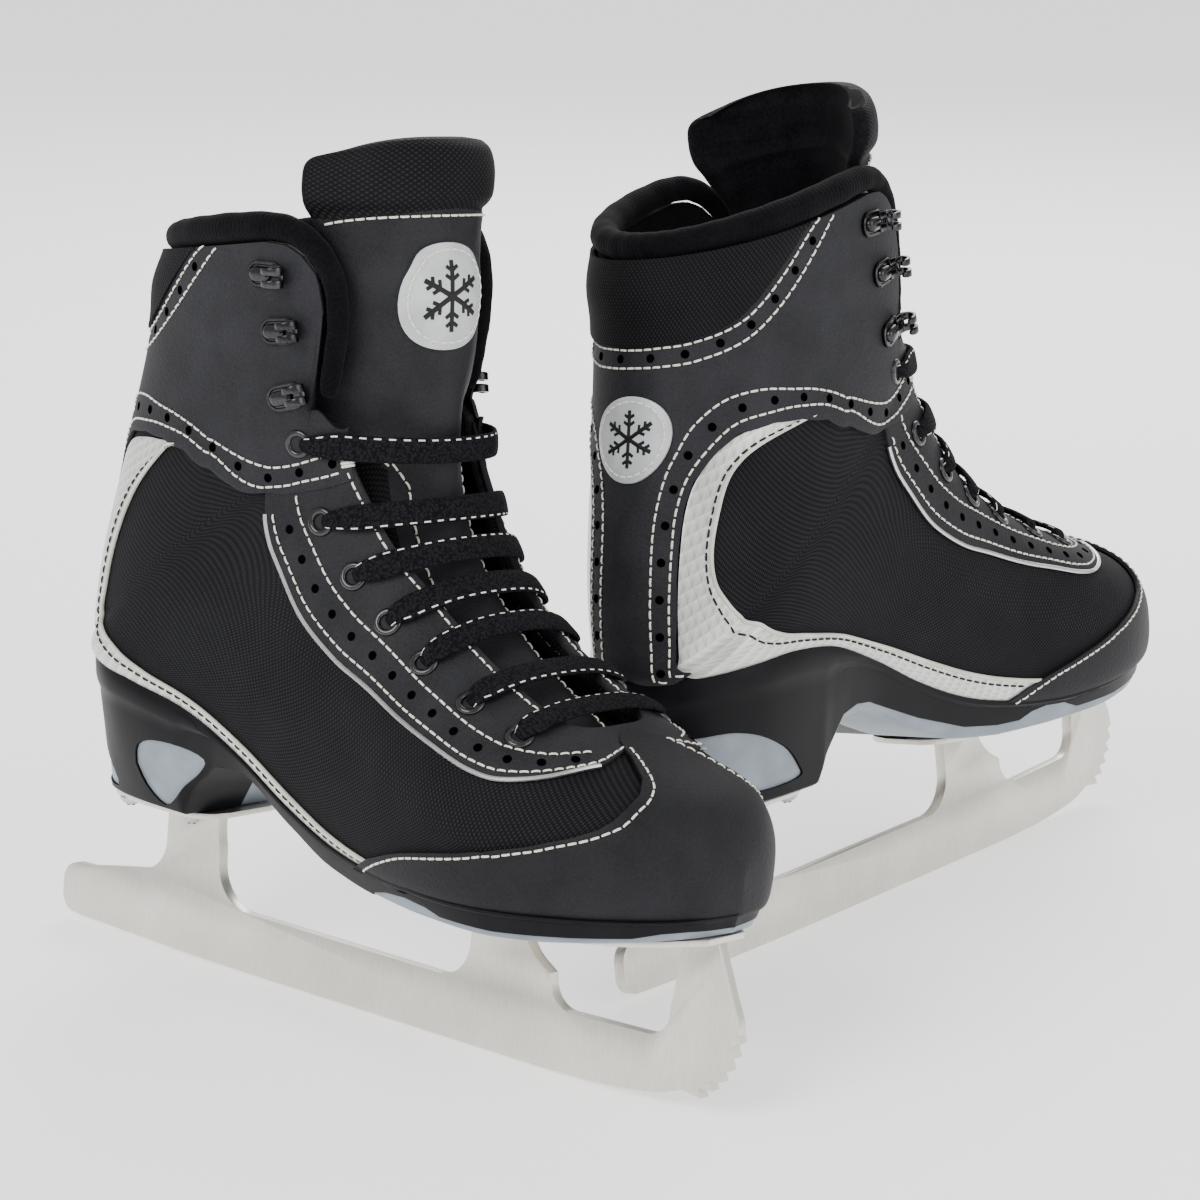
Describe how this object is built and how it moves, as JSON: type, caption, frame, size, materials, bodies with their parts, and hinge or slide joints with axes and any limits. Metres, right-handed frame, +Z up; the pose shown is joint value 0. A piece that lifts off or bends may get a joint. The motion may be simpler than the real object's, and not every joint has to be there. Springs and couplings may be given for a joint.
{
  "type": "pair of figure skates",
  "caption": "Pair of laced leather figure skating boots with padded collars and tongues, each on a steel blade with a toe pick",
  "frame": {"origin": "centre of the bottom of the pair's bounding box, on the surface that the blades stand on", "axes": "+Z is up, +X and -Y are towards the viewer's right and the viewer; each boot points outwards and forwards, at 41 degrees and 51 degrees from the X axis"},
  "size_m": [0.3688, 0.33, 0.2705],
  "materials": {
    "outsole": "satin black moulded sole and heel",
    "heel_core": "blue-grey moulded core",
    "lining_cloth": "black soft lining",
    "black_nylon": "black diagonal woven nylon over a stiff shell",
    "collar_felt": "black padded knit roll",
    "charcoal_leather": "charcoal matte grained leather",
    "toe_leather": "smooth black leather",
    "black_leather": "black fine grained leather",
    "silver_leather": "pearl silver embossed leather",
    "tongue_nylon": "black padded woven nylon",
    "silver_patch": "silver stitched patch",
    "blade_steel": "satin brushed steel",
    "lace_cord": "black flat woven lace",
    "hook_metal": "gunmetal",
    "screw_steel": "plain steel"
  },
  "bodies": {
    "right_boot": {"right_back_badge": "silver_patch", "right_blade": "blade_steel", "right_collar_roll": "collar_felt", "right_cuff": "charcoal_leather", "right_heel_screw_1": "screw_steel", "right_heel_screw_2": "screw_steel", "right_heel_screw_3": "screw_steel", "right_heel_screw_4": "screw_steel", "right_inner_facing": "black_leather", "right_inner_foxing": "silver_leather", "right_inner_hook_1": "hook_metal", "right_inner_hook_2": "hook_metal", "right_inner_hook_3": "hook_metal", "right_insole": "lining_cloth", "right_lace": "lace_cord", "right_lining": "lining_cloth", "right_outer_facing": "black_leather", "right_outer_foxing": "silver_leather", "right_outer_hook_1": "hook_metal", "right_outer_hook_2": "hook_metal", "right_outer_hook_3": "hook_metal", "right_outsole": "outsole", "right_sole_core": "heel_core", "right_sole_screw_1": "screw_steel", "right_sole_screw_2": "screw_steel", "right_toe_cap": "toe_leather", "right_tongue": "black_leather", "right_upper": "black_nylon"},
    "right_tongue_flap": {"right_tongue_top": "tongue_nylon", "right_tongue_badge": "silver_patch"},
    "left_boot": {"left_back_badge": "silver_patch", "left_blade": "blade_steel", "left_collar_roll": "collar_felt", "left_cuff": "charcoal_leather", "left_heel_screw_1": "screw_steel", "left_heel_screw_2": "screw_steel", "left_heel_screw_3": "screw_steel", "left_heel_screw_4": "screw_steel", "left_inner_facing": "black_leather", "left_inner_foxing": "silver_leather", "left_inner_hook_1": "hook_metal", "left_inner_hook_2": "hook_metal", "left_inner_hook_3": "hook_metal", "left_insole": "lining_cloth", "left_lace": "lace_cord", "left_lining": "lining_cloth", "left_outer_facing": "black_leather", "left_outer_foxing": "silver_leather", "left_outer_hook_1": "hook_metal", "left_outer_hook_2": "hook_metal", "left_outer_hook_3": "hook_metal", "left_outsole": "outsole", "left_sole_core": "heel_core", "left_sole_screw_1": "screw_steel", "left_sole_screw_2": "screw_steel", "left_toe_cap": "toe_leather", "left_tongue": "black_leather", "left_upper": "black_nylon"},
    "left_tongue_flap": {"left_tongue_top": "tongue_nylon", "left_tongue_badge": "silver_patch"}
  },
  "joints": [
    {"name": "right_tongue_bend", "type": "hinge", "parent": "right_boot", "child": "right_tongue_flap", "pos_m": [-0.04894, -0.06694, 0.19208], "axis": [0.6522, 0.7503, -0.108], "range_deg": [0, 40]},
    {"name": "left_tongue_bend", "type": "hinge", "parent": "left_boot", "child": "left_tongue_flap", "pos_m": [0.07882, 0.07829, 0.19131], "axis": [-0.7725, 0.6188, -0.1426], "range_deg": [0, 40]},
    {"name": "left_skate_lift", "type": "slide", "parent": "right_boot", "child": "left_boot", "axis": [0, 0, 1], "range_m": [0, 0.3]}
  ]
}
